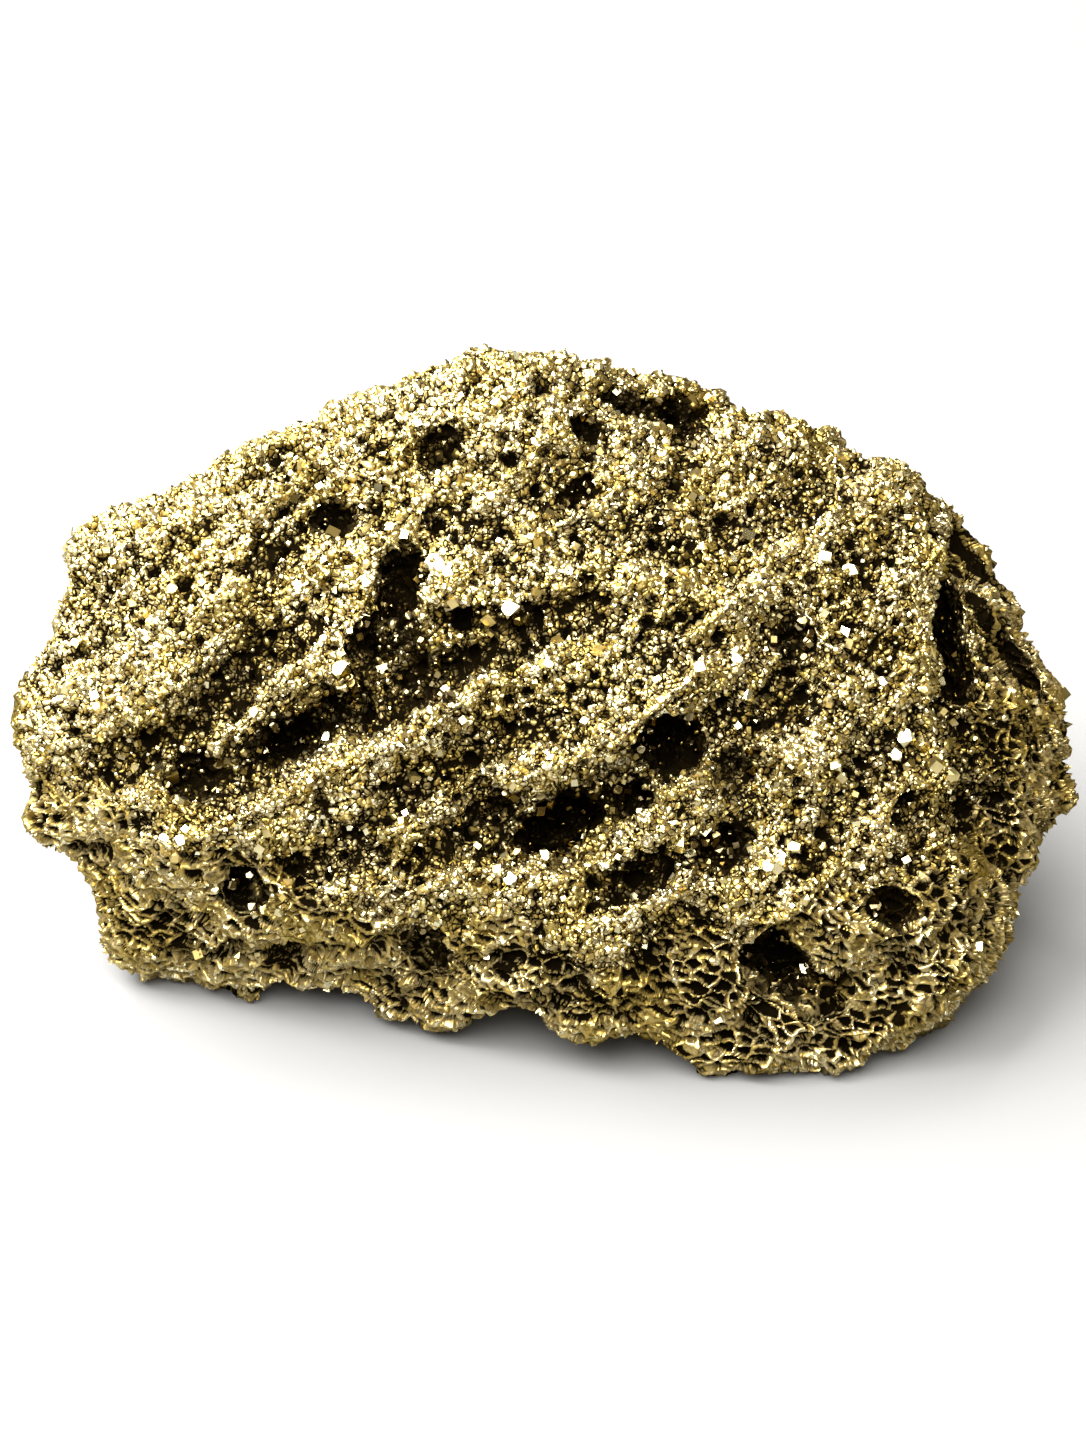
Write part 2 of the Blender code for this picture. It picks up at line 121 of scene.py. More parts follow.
# Pyrite crystal: iron sulphide, a pale brass metal with mirror-flat growth faces. The eye gets
# a hard white or black flash from each face, cream where fresh, olive where the air has
# tarnished it, and a deep gold painted on crystals in a hollow: part tarnish, part painted shade
# and painted light of the bounces from face to face there.
crystalFinish = {
    "fresh": "#F0ECCC",
    "warm": "#D5BC6C",
    "olive": "#A5965F",
    "hollowTarnishAndShade": "#6A5626",
    "roughness": (0.14, 0.40),  # of the freshest and the warmest crystal
    "filmSize": 6.0,            # mm across a patch of tarnish
    "film": (0.50, 0.66),       # noise at which the tarnish starts and is full
}

# Massive pyrite between the crystals: the same sulphide in fused grains, sooty in the pores,
# whose black is soot and painted shade. The eye gets pale gold facets that flash to white,
# brown-black seams that outline each one, dark joints with painted shade of the crevices, and
# duller olive patches where the air has tarnished it.
massFinish = {
    "fresh": "#F0ECCA",
    "warm": "#D4BC6A",
    "olive": "#ADA16C",
    # the rim: a painted golden half-shade at the edge of the seams' and pores' darkening
    "rim": "#A0843A",
    # near-black, dull and not metal: soot in pores and seams that also carries painted shade
    "sootAndShade": "#0C0803",
    # the tone of hollows: painted shade over some tarnish
    "deep": "#180F04",
    "sootRough": 0.75,
    "roughness": (0.18, 0.42),  # of the freshest and the warmest grain
    "filmSize": 5.0,            # mm across a patch of tarnish
    "film": (0.50, 0.62),       # noise at which the tarnish starts and is full
    "facetSize": 0.60,          # mm across a fused grain, coarser than the smallest real ones
    "facetTilt": 0.36,          # how far one grain leans from the next
    "facetDome": 0.11,          # mm that its middle stands above its edges
    "bend": (0.7, 0.35),        # mm: size and reach of the bends in the seams
    "seam": (0.0375, 0.15),     # share of a grain where its dark seam, a dark joint with painted shade of the crevice, is full and where it ends
    "seamDark": 0.70,
    "toneSpan": (0.35, 0.85),   # tones at which a grain is at its freshest and its warmest
    "rimSpan": (0.0, 0.45, 0.0, 0.80),    # dirt and painted shade where the rim, a painted golden half-shade, starts and is full, its shares there
    "sootAndShadeSpan": (0.42, 0.95, 0.0, 1.0),   # the same for soot with painted shade
    "deepTarnishAndShadeSpan": (0.20, 0.62, 0.0, 0.97),  # and for the tone of hollows, painted shade with tarnish, by how enclosed they are
}


def mixed(tree, share, first, second):
    # one colour over another; share is a number or a socket, the colours are hex or sockets
    settings, links = {"data_type": "RGBA"}, {}
    (settings if isinstance(share, float) else links)[0] = share
    for key, value in ((6, first), (7, second)):
        if isinstance(value, str):
            settings[key] = linear(value)
        else:
            links[key] = value
    return addNode(tree, "ShaderNodeMix", settings, links).outputs[2]


def spanned(tree, source, low, high, first=0.0, last=1.0):
    # source from low to high becomes first to last
    settings = {1: low, 2: high, 3: first, 4: last}
    return addNode(tree, "ShaderNodeMapRange", settings, {0: source}).outputs[0]


def tarnish(tree, place, look):
    settings = {"Scale": 1 / (look["filmSize"] * mm), "Detail": 4.0}
    film = addNode(tree, "ShaderNodeTexNoise", settings, {"Vector": place})
    return spanned(tree, film.outputs["Fac"], *look["film"])


def attribute(tree, key):
    return addNode(tree, "ShaderNodeAttribute", {"attribute_name": key}).outputs["Fac"]


def makeCrystalMaterial():
    look = crystalFinish
    material, tree = newMaterial("pyriteCrystalFaces")
    place = addNode(tree, "ShaderNodeTexCoord").outputs["Object"]
    fresh = mixed(tree, attribute(tree, "tone"), look["fresh"], look["warm"])
    dulled = mixed(tree, tarnish(tree, place, look), fresh, look["olive"])
    # a darker gold by how enclosed a crystal is: part tarnish, part painted shade of hollows
    colour = mixed(tree, attribute(tree, "hollow"), dulled, look["hollowTarnishAndShade"])
    rough = spanned(tree, attribute(tree, "tone"), 0.0, 1.0, *look["roughness"])
    shader = addNode(tree, "ShaderNodeBsdfPrincipled", {"Metallic": 1.0},
                     {"Base Color": colour, "Specular Tint": colour, "Roughness": rough})
    addNode(tree, "ShaderNodeOutputMaterial", {}, {"Surface": shader.outputs[0]})
    return material


def facets(tree, place, look, grain):
    # each cell of the mass leans its own way and is domed, with a dark seam round it that is a dark
    # joint with painted shade of the crevice: gives the normal, the cell's own tone and the seam
    size, reach = look["bend"]
    bend = addNode(tree, "ShaderNodeTexNoise", {"Scale": 1 / (size * mm)}, {"Vector": place})
    bent = addNode(tree, "ShaderNodeVectorMath", {"operation": "MULTIPLY_ADD", 1: (reach * mm,) * 3},
                   {0: bend.outputs["Color"], 2: place}).outputs[0]
    scale = {"Scale": 1 / (look["facetSize"] * mm)}
    cells = addNode(tree, "ShaderNodeTexVoronoi", scale, {"Vector": bent}).outputs
    edges = addNode(tree, "ShaderNodeTexVoronoi", {"feature": "DISTANCE_TO_EDGE", **scale},
                    {"Vector": bent})
    seam = spanned(tree, edges.outputs["Distance"], *look["seam"], look["seamDark"], 0.0)
    lean = addNode(tree, "ShaderNodeVectorMath", {"operation": "SUBTRACT", 1: (0.5, 0.5, 0.5)},
                   {0: cells["Color"]}).outputs[0]
    lean = addNode(tree, "ShaderNodeVectorMath", {"operation": "SCALE"},
                   {0: lean, "Scale": grain}).outputs[0]
    straight = addNode(tree, "ShaderNodeNewGeometry").outputs["Normal"]
    tilt = {"operation": "MULTIPLY_ADD", 1: (look["facetTilt"],) * 3}
    normal = addNode(tree, "ShaderNodeVectorMath", tilt, {0: lean, 2: straight}).outputs[0]
    normal = addNode(tree, "ShaderNodeVectorMath", {"operation": "NORMALIZE"}, {0: normal}).outputs[0]
    dome = addNode(tree, "ShaderNodeMath", {"operation": "MULTIPLY"},
                   {0: cells["Distance"], 1: cells["Distance"]}).outputs[0]
    dome = addNode(tree, "ShaderNodeMath", {"operation": "MULTIPLY"}, {0: dome, 1: grain}).outputs[0]
    normal = addNode(tree, "ShaderNodeBump", {"Strength": 1.0, "Distance": -2 * look["facetDome"] * mm},
                     {"Height": dome, "Normal": normal}).outputs[0]
    own = addNode(tree, "ShaderNodeSeparateColor", {}, {0: cells["Color"]}).outputs[0]
    return normal, own, seam


def makeMassMaterial():
    look = massFinish
    material, tree = newMaterial("pyriteFusedMass")
    place = addNode(tree, "ShaderNodeTexCoord").outputs["Object"]
    grain = attribute(tree, "grain")
    normal, own, seam = facets(tree, place, look, grain)
    tone = spanned(tree, mixed(tree, 0.5, attribute(tree, "tone"), own), *look["toneSpan"])
    # darkening from the seams and the dirt attribute: dark joints, soot and dirt, with painted shade in
    # crevices, pores, grooves, troughs and holes
    dirtAndShade = addNode(tree, "ShaderNodeMath", {"operation": "MULTIPLY_ADD", "use_clamp": True},
                   {0: seam, 1: grain, 2: attribute(tree, "dirtAndShade")}).outputs[0]
    sootAndShade = spanned(tree, dirtAndShade, *look["sootAndShadeSpan"])
    # over the grain's tone: tarnish, the rim's painted half-shade, painted shade with tarnish in
    # hollows, soot with painted shade
    layers = {
        "olive": tarnish(tree, place, look),
        "rim": spanned(tree, dirtAndShade, *look["rimSpan"]),
        "deep": spanned(tree, attribute(tree, "hollow"), *look["deepTarnishAndShadeSpan"]),
        "sootAndShade": sootAndShade,
    }
    colour = mixed(tree, tone, look["fresh"], look["warm"])
    for key, share in layers.items():
        colour = mixed(tree, share, colour, look[key])
    metal = addNode(tree, "ShaderNodeMath", {"operation": "SUBTRACT", 0: 1.0}, {1: sootAndShade}).outputs[0]
    rough = addNode(tree, "ShaderNodeMath", {"operation": "MAXIMUM"},
                    {0: spanned(tree, tone, 0.0, 1.0, *look["roughness"]),
                     1: spanned(tree, dirtAndShade, 0.0, 1.0, 0.0, look["sootRough"])}).outputs[0]
    shader = addNode(tree, "ShaderNodeBsdfPrincipled", {"Specular IOR Level": 0.0},
                     {"Base Color": colour, "Specular Tint": colour, "Roughness": rough,
                      "Metallic": metal, "Normal": normal})
    addNode(tree, "ShaderNodeOutputMaterial", {}, {"Surface": shader.outputs[0]})
    return material


# Mesh helpers

def makePiece(name, points, faces, material, attributes):
    # one mesh object from points and rows of corners; attributes are one number for each point
    mesh = bpy.data.meshes.new(name)
    counts = np.array([len(row) for row in faces])
    corners = np.concatenate(faces)
    mesh.vertices.add(len(points))
    mesh.vertices.foreach_set("co", points.astype(np.float32).ravel())
    mesh.loops.add(len(corners))
    mesh.loops.foreach_set("vertex_index", corners.astype(np.int32))
    mesh.polygons.add(len(counts))
    mesh.polygons.foreach_set("loop_start", (np.cumsum(counts) - counts).astype(np.int32))
    mesh.update(calc_edges=True)
    for key, values in attributes.items():
        layer = mesh.attributes.new(key, "FLOAT", "POINT")
        layer.data.foreach_set("value", values.astype(np.float32))
    mesh.materials.append(material)
    obj = bpy.data.objects.new(name, mesh)
    bpy.context.scene.collection.objects.link(obj)
    return obj


def pointsOf(mesh, what="co"):
    values = np.empty(len(mesh.vertices) * 3, np.float32)
    mesh.vertices.foreach_get(what, values)
    return values.reshape(-1, 3).astype(float)


# Where in the noise each kind of relief is taken from, so that no two of them agree
seeds = {"waver": 3.0, "rough": 5.0, "strata": 7.0, "uneven": 9.0, "breaks": 13.0}


def lumpy(points, size, seed=0.0):
    # smooth noise about zero, its lumps about this many millimetres across
    scaled = points / (size * mm) + np.array([seed, 2 * seed, size])
    return np.array([noise.noise(p) for p in scaled])


def smoothStep(x, low, high):
    t = np.clip((x - low) / (high - low), 0, 1)
    return t * t * (3 - 2 * t)


def trianglesOf(mesh):
    mesh.calc_loop_triangles()
    corners = np.empty(len(mesh.loop_triangles) * 3, np.int32)
    mesh.loop_triangles.foreach_get("vertices", corners)
    return corners.reshape(-1, 3)


def spacedOut(points, reach):
    # keeps a point only if no kept one is within its own reach
    cell = float(reach.max())
    keys = np.floor(points / cell).astype(int)
    around = [(x, y, z) for x in (-1, 0, 1) for y in (-1, 0, 1) for z in (-1, 0, 1)]
    taken = {}
    kept = []
    rows = zip(keys.tolist(), points.tolist(), reach.tolist())
    for n, ((kx, ky, kz), (px, py, pz), r) in enumerate(rows):
        rr = r * r
        free = True
        for dx, dy, dz in around:
            for qx, qy, qz in taken.get((kx + dx, ky + dy, kz + dz), ()):
                if (px - qx) ** 2 + (py - qy) ** 2 + (pz - qz) ** 2 < rr:
                    free = False
                    break
            if not free:
                break
        if free:
            taken.setdefault((kx, ky, kz), []).append((px, py, pz))
            kept.append(n)
    return np.array(kept)


# The mass: a fine skin over the CAD solid. Above the brow it is a crowd of angular grains in
# popcorn clusters with pores between them, painted black-brown as painted shade; below the brow
# it is a web of thin strands round small holes, also painted dark as painted shade. The side that
# the camera sees is worked finer. Lengths are in mm.
mass = {
    "voxel": 0.44,            # halved on the near faces and a third on the near web
    "nearFrom": 0.10,         # how far a face must be turned to the camera to count as near
    "splitAt": -1.0,          # to the right of the middle: where the near side is split in two
    "ground": 0.05,           # height below which the skin lies on the ground
    "sunk": 0.12,             # how far the faces lie below the solid
    "lumps": [(5.0, 0.50), (2.4, 0.38), (1.2, 0.12)],  # size and height
    "strata": (8.0, 1.9, 35, 0.34, 3.5),  # streaks: length, width, degrees up, height, steepness
    "groove": (0.18, 0.40, 0.35),    # noise at which a groove starts and is full, and its darkening, painted shade
    "warp": (0.8, 0.24),      # size and strength of the bends in all edges
    "enclosed": (10, 9.0, 0.35),  # rays from a spot, their reach, and their start off the skin
    "ridge": (0.35, 0.45),    # standing so far proud takes off this share of the dirt and shade: painted light on ridges
    "trough": (0.45, 0.42),   # standing so far back adds this much painted shade
    # the most that dirt and painted shade darken a spot
    "mostDirtAndShade": 0.97,
}
grainLook = {
    "spacing": 0.68,
    "tries": 140000,
    "away": (-0.3, 0.1, 1.6),  # turned from the camera so far, the grains are this much wider
    "level": 0.10,             # how much one grain stands higher or lower than the next
    "tilt": 0.32,              # slope of a grain's flat top
    "rim": 0.26,               # in from its edge where a grain is at its full height
    "height": 0.34,
    "seam": (0.0, 0.15, 0.66),  # from its edge: where the seam's darkening, dark joint and painted shade, starts to fade and ends, how much
    "low": (0.36, 0.78),       # depths at which painted shade gathers and is full
}
# clusters get the same dark seam between them as grains: dark joint with painted shade
clusterLook = {"spacing": 2.3, "tries": 20000, "rim": 0.8, "height": 0.34, "seam": (0.05, 0.34, 0.62)}
poreLook = {
    "spacing": 1.9,
    "tries": 30000,
    "spread": (0.55, 1.6),     # smallest and largest share of the spacing
    "radius": (0.26, 0.80),
    "wall": (0.45, 1.15),      # shares of the radius where the wall ends and starts
    "depth": 1.2,
}
webLook = {
    "top": (13.5, 19.0),      # height above the ground, at the lump's middle and ends
    "topSpan": (8, 32),       # from the middle, where it starts to rise and is at its full height
    "waver": (8.0, 4.0),      # length and height of the waves in that edge
    "blend": 2.5,
    "side": 37.0,             # to the right, past the right-hand ridge, where the web also begins
    "sideSpan": (-1.0, 1.5, 0.8),  # from there: where it starts and is full, its share
    "sideWaver": 0.5,         # share of the waves that this edge has
    "cutFrom": 0.4,           # share of web from which the skin is cut in three
    "facetless": 0.8,         # share of the facets' relief that it lacks
    "spacing": 0.76,          # between the middles of the holes
    "tries": 90000,
    "above": 9.0,             # how far above its top the web's cells go on
    "stretch": 2.2,           # how much longer than wide the holes are
    "run": -20,               # degrees, falling to the right
    "strand": (0.05, 0.15),   # half the width of a strand, and where the hole's wall ends
    "uneven": (1.7, 1.4, 0.4, 1.8),  # changes in that width: size, strength, least, most
    "kinds": {                # share of the cells, least and greatest depth, dirt and painted shade
        "hole": (0.62, 0.80, 1.40, 1.00),
        "dent": (0.20, 0.35, 0.60, 0.90),
        "plate": (0.18, 0.05, 0.14, 0.50),
    },
    "bend": (1.5, 0.50),      # size and strength of the bends in its strands
    "rough": (0.9, 0.30),     # size and height of the lumps on them
    "tilt": (0.22, 0.3),      # their slope, and the most that it lifts them
    "breaks": (3.2, 0.55),    # size and depth of the patches where the strands are broken off
    "breakSpan": (0.06, 0.34),  # noise at which such a patch starts and is full
    # the broken patches are darker with dirt and painted shade
    "breakDirtAndShade": 0.45,
    "dirtAndShade": 0.20,             # painted shade over all of the web
    "smoother": 0.7,          # share of the strata's height that it lacks
}


def solidMesh():
    mesh = bpy.data.meshes.new("solidMesh")
    build = bmesh.new()
    build.from_mesh(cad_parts["pyrite_lump"].data)
    bmesh.ops.remove_doubles(build, verts=build.verts, dist=0.002 * mm)
    surface = BVHTree.FromBMesh(build)
    build.to_mesh(mesh)
    build.free()
    return mesh, surface


def coarseSkin(mesh):
    obj = bpy.data.objects.new("coarseSkin", mesh)
    bpy.context.scene.collection.objects.link(obj)
    remesh = obj.modifiers.new("voxels", "REMESH")
    remesh.mode = "VOXEL"
    remesh.voxel_size = mass["voxel"] * mm
    graph = bpy.context.evaluated_depsgraph_get()
    skin = bpy.data.meshes.new_from_object(obj.evaluated_get(graph))
    bpy.data.objects.remove(obj)
    return skin


def flankShare(points):
    # 1 on the steep lower flanks and the underside, 0 on the faces above the brow
    look = webLook
    size, tall = look["waver"]
    waver = tall * lumpy(points, size, seeds["waver"])
    middle, ends = look["top"]
    top = middle + (ends - middle) * smoothStep(np.abs(points[:, 0]) / mm, *look["topSpan"]) + waver
    low = smoothStep(top - points[:, 2] / mm, -look["blend"], look["blend"])
    past = points[:, 0] / mm + look["sideWaver"] * waver - look["side"]
    start, full, share = look["sideSpan"]
    return np.maximum(low, share * smoothStep(past, start, full))


def runAt(degrees):
    # the way in the picture's plane that rises so steeply to the right
    turn = math.radians(degrees)
    return np.array(rightward * math.cos(turn) + upward * math.sin(turn))


def stretched(points):
    # squeezes space along the web's run, so that round cells there come out long
    run = runAt(webLook["run"])
    return points + np.outer((points @ run) * (1 / webLook["stretch"] - 1), run)


def strataRelief(points):
    # streaks of the mass that rise to the right, with grooves between them darkened by painted shade
    along, across, rise, tall, steep = mass["strata"]
    start, full, dark = mass["groove"]
    run = runAt(rise)
    squeezed = points + np.outer((points @ run) * (across / along - 1), run)
    wave = lumpy(squeezed, across, seeds["strata"])
    return tall * np.tanh(steep * wave), dark * smoothStep(-wave, start, full)


def bends(points, size, strength):
    return np.array([noise.noise_vector(p) for p in points / (size * mm)]) * strength * mm


def warped(points):
    return points + bends(points, *mass["warp"])


def surfaceSamples(points, triangles, count, weights=None):
    a, b, c = (points[triangles[:, i]] for i in range(3))
    area = np.linalg.norm(np.cross(b - a, c - a), axis=1) / 2
    if weights is not None:
        area = area * weights
    pick = rng.choice(len(triangles), size=count, p=area / area.sum())
    u, v = rng.random(count), rng.random(count)
    flip = u + v > 1
    u[flip], v[flip] = 1 - u[flip], 1 - v[flip]
    return a[pick] + u[:, None] * (b - a)[pick] + v[:, None] * (c - a)[pick], pick


def treeOf(points):
    tree = KDTree(len(points))
    for n, p in enumerate(points):
        tree.insert(p, n)
    tree.balance()
    return tree


def nearestIn(tree, points):
    # distance to, and number of, the nearest stored point
    found = [tree.find(p) for p in points]
    return np.array([f[2] for f in found], float), np.array([f[1] for f in found], int)


def makeCells(spots, spacing, spread=(0.6, 1.5)):
    # the middles of cells crowded over the surface
    kept = spacedOut(spots, spacing * mm * rng.uniform(*spread, len(spots)))
    return {"middles": spots[kept], "tree": treeOf(spots[kept])}


def cellAt(cells, points):
    # the number of the cell that holds each point, and the distance to its edge in mm
    found = [cells["tree"].find_n(p, 2) for p in points]
    first = np.array([f[0][1] for f in found], int)
    second = np.array([f[1][1] for f in found], int)
    near = np.array([f[0][2] for f in found])
    far = np.array([f[1][2] for f in found])
    apart = np.linalg.norm(cells["middles"][first] - cells["middles"][second], axis=1)
    return first, (far ** 2 - near ** 2) / (2 * apart) / mm


def enclosed(spots, normals):
    # share of the rays out of each spot that meet the lump again within reach
    rays, reach, off = mass["enclosed"]
    turns = rng.normal(size=(rays, 3))
    turns /= np.linalg.norm(turns, axis=1)[:, None]
    hits = np.zeros(len(spots))
    starts = (spots + normals * off * mm).tolist()
    for turn in turns:
        ways = normals * 1.05 + turn  # a little over 1 keeps each ray off the skin
        ways /= np.linalg.norm(ways, axis=1)[:, None]
        hits += [solidSurface.ray_cast(start, way, reach * mm)[0] is not None
                 for start, way in zip(starts, ways.tolist())]
    return hits / rays


def facing(points, normals):
    # how far each spot is turned to the camera: 1 square to it, below 0 turned away
    ways = np.array(eye) - points
    ways /= np.linalg.norm(ways, axis=1)[:, None]
    return (normals * ways).sum(axis=1)


def refined(skin):
    # the same skin with its near faces cut finer, and the ground's face in one
    points = pointsOf(skin)
    near = facing(points, pointsOf(skin, "normal")) > mass["nearFrom"]
    web = near & (flankShare(points) > webLook["cutFrom"])
    build = bmesh.new()
    build.from_mesh(skin)
    ground = [f for f in build.faces if all(v.co.z < mass["ground"] * mm for v in f.verts)]
    bmesh.ops.dissolve_faces(build, faces=ground)
    build.edges.ensure_lookup_table()
    usual = [e for e in build.edges if all(len(f.verts) < 6 for f in e.link_faces)]
    third = [e for e in usual if all(web[v.index] for v in e.verts)]
    half = [e for e in usual if all(near[v.index] for v in e.verts)
            and not all(web[v.index] for v in e.verts)]
    bmesh.ops.subdivide_edges(build, edges=third, cuts=2, use_grid_fill=True)
    half = [e for e in half if e.is_valid]
    bmesh.ops.subdivide_edges(build, edges=half, cuts=1, use_grid_fill=True)
    fine = bpy.data.meshes.new("fineSkin")
    build.to_mesh(fine)
    build.free()
    return fine


def standing(mesh):
    # how far each point stands above the smoothed lump in mm, or below it where under 0
    rounds = 60
    points = pointsOf(mesh)
    ends = np.empty(len(mesh.edges) * 2, np.int32)
    mesh.edges.foreach_get("vertices", ends)
    a, b = ends[::2], ends[1::2]
    shares = np.bincount(ends, minlength=len(points))[:, None]
    smooth = points.copy()
    for _ in range(rounds):
        total = [np.bincount(a, smooth[b, k], len(points)) + np.bincount(b, smooth[a, k], len(points))
                 for k in range(3)]
        smooth = np.stack(total, axis=1) / shares
    return ((points - smooth) * pointsOf(mesh, "normal")).sum(axis=1) / mm


solid, solidSurface = solidMesh()
skin = coarseSkin(solid)
skinStanding = standing(skin)
skinTree = treeOf(pointsOf(skin))
skinHollow = enclosed(pointsOf(skin), pointsOf(skin, "normal"))
report(f"hollows found on {len(skinHollow)} points")
fine = refined(skin)
finePoints, fineNormals, fineTriangles = pointsOf(fine), pointsOf(fine, "normal"), trianglesOf(fine)
report(f"skin of {len(fineTriangles)} triangles")


def edged(edge, look):
    # the rounded rise from a cell's edge, and the dark seam along it, a dark joint with painted shade
    start, full, share = look["seam"]
    rise = look["height"] * (np.sqrt(np.clip(edge / look["rim"], 0, 1)) - 1)
    return rise, (1 - smoothStep(edge, start, full)) * share


def grainRelief(points):
    # heights in mm of the crowded grains and their clusters, the dark seams and the painted shade in low
    # spots between them, and each one's tone
    look = grainLook
    spots, pick = surfaceSamples(pointsOf(skin), trianglesOf(skin), look["tries"])
    start, full, wider = look["away"]
    normals = pointsOf(skin, "normal")[trianglesOf(skin)[pick, 0]]
    turnedAway = 1 - smoothStep(facing(spots, normals), start, full)
    grains = makeCells(spots, look["spacing"] * (1 + (wider - 1) * turnedAway))
    clusters = makeCells(spots[:clusterLook["tries"]], clusterLook["spacing"])
    count = len(grains["middles"])
    level = rng.normal(size=count) * look["level"]
    tilt = rng.normal(size=(count, 3)) * look["tilt"]
    tone = rng.random(count)
    bent = warped(points)
    cell, edge = cellAt(grains, bent)
    away = (points - grains["middles"][cell]) / mm
    rise, seam = edged(edge, look)
    height = level[cell] + (tilt[cell] * away).sum(axis=1) + rise
    _, clusterEdge = cellAt(clusters, bent)
    rise, clusterSeam = edged(clusterEdge, clusterLook)
    height += rise
    dirtAndShade = seam + clusterSeam + smoothStep(-height, *look["low"])
    report(f"{count} grains, {len(clusters['middles'])} clusters")
    return height, dirtAndShade, tone[cell]


def poreRelief(points):
    look = poreLook
    spots, _ = surfaceSamples(pointsOf(skin), trianglesOf(skin), look["tries"])
    pores = makeCells(spots, look["spacing"], look["spread"])
    small, large = look["radius"]
    radii = (small + (large - small) * rng.random(len(pores["middles"])) ** 2) * mm
    away, which = nearestIn(pores["tree"], warped(points))
    inside = 1 - smoothStep(away / radii[which], *look["wall"])
    # a pore's inside is dug in and painted dark: painted shade
    return -look["depth"] * inside, inside


def webRelief(points):
    look = webLook
    spots, _ = surfaceSamples(pointsOf(skin), trianglesOf(skin), look["tries"])
    low = spots[:, 2] < (look["top"][1] + look["above"]) * mm
    cells = makeCells(stretched(spots[low]), look["spacing"])
    count = len(cells["middles"])
    share, shallow, deep, dark = np.array(list(look["kinds"].values())).T
    kind = rng.choice(len(share), size=count, p=share)
    depth = rng.uniform(shallow[kind], deep[kind])
    slope, lift = look["tilt"]
    tilt = rng.normal(size=(count, 3)) * slope
    cell, edge = cellAt(cells, stretched(warped(points) + bends(points, *look["bend"])))
    size, strength, least, most = look["uneven"]
    uneven = np.clip(1 + strength * lumpy(points, size, seeds["uneven"]), least, most)
    inside = smoothStep(edge / uneven, *look["strand"])
    size, sunk = look["breaks"]
    broken = smoothStep(lumpy(points, size, seeds["breaks"]), *look["breakSpan"])
    away = (stretched(points) - cells["middles"][cell]) / mm
    size, tall = look["rough"]
    height = -depth[cell] * inside + tall * lumpy(points, size, seeds["rough"]) - sunk * broken
    height += (1 - inside) * np.clip((tilt[cell] * away).sum(axis=1), -lift, lift)
    # holes, dents, plates and broken patches are painted dark: painted shade with dirt
    dirtAndShade = inside * dark[kind[cell]] + look["breakDirtAndShade"] * broken
    report(f"{count} cells in the web")
    return height, look["dirtAndShade"] + dirtAndShade


def makeMass():
    look = mass
    points, normals = finePoints, fineNormals
    _, nearest = nearestIn(skinTree, points)
    flank = flankShare(points)
    height = -look["sunk"] * (1 - flank)
    for size, tall in look["lumps"]:
        height += tall * lumpy(points, size)
    face = np.nonzero(flank < 0.995)[0]  # each relief is worked out only where it shows
    web = np.nonzero(flank > 0.005)[0]
    # dark seams, soot and dirt, with painted shade in pores, grooves, low spots, web holes and troughs
    dirtAndShade = np.zeros(len(points))
    tone = np.full(len(points), 0.5)
    grainHeight, seam, grainTone = grainRelief(points[face])
    poreHeight, pore = poreRelief(points[face])
    height[face] += (1 - flank[face]) * (grainHeight + poreHeight)
    dirtAndShade[face] += (1 - flank[face]) * np.clip(seam + pore, 0, 1)
    tone[face] = grainTone
    streak, groove = strataRelief(points)
    height += (1 - webLook["smoother"] * flank) * streak
    dirtAndShade += (1 - flank) * groove
    webHeight, webDirtAndShade = webRelief(points[web])
    height[web] += flank[web] * webHeight
    dirtAndShade[web] += flank[web] * webDirtAndShade
    # painted light on proud ridges and painted shade in troughs
    proud, share = look["ridge"]
    dirtAndShade *= 1 - share * (1 - flank) * smoothStep(skinStanding[nearest], 0.0, proud)
    back, more = look["trough"]
    dirtAndShade += more * (1 - 0.5 * flank) * smoothStep(-skinStanding[nearest], 0.0, back)
    height[points[:, 2] < look["ground"] * mm] = 0
    moved = points + normals * height[:, None] * mm
    moved[:, 2] = np.maximum(moved[:, 2], 0)
    return moved, np.clip(dirtAndShade, 0, look["mostDirtAndShade"]), tone, skinHollow[nearest], flank


massPoints, massDirtAndShade, massTone, massHollow, massFlank = makeMass()
report("mass")


def splitMass(material):
    # one mesh for the far side and four for the near side, with the same points along their edges
    middles = finePoints[fineTriangles].mean(axis=1)
    near = facing(middles, fineNormals[fineTriangles[:, 0]]) > mass["nearFrom"]
    low = massFlank[fineTriangles].mean(axis=1) > 0.5
    left = middles[:, 0] < mass["splitAt"] * mm
    parts = {
        "pyrite_mass": ~near,
        "near_web_left": near & low & left,
        "near_web_right": near & low & ~left,
        "near_grains_left": near & ~low & left,
        "near_grains_right": near & ~low & ~left,
    }
    made = []
    for name, chosen in parts.items():
        used, corners = np.unique(fineTriangles[chosen], return_inverse=True)
        # the dirt with painted shade, and the enclosure that paints the hollows' shade, go on each point
        values = {"dirtAndShade": massDirtAndShade[used], "tone": massTone[used], "hollow": massHollow[used],
                  "grain": 1 - webLook["facetless"] * massFlank[used]}
        obj = makePiece(name, massPoints[used], corners.reshape(-1, 3), material, values)
        obj.data.shade_smooth()
        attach(obj, "root")
        print(name, len(obj.data.polygons), "triangles")
        made.append(obj)
    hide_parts("pyrite_lump")
    return made


massMaterial = makeMassMaterial()
massPieces = splitMass(massMaterial)
report("mass pieces")


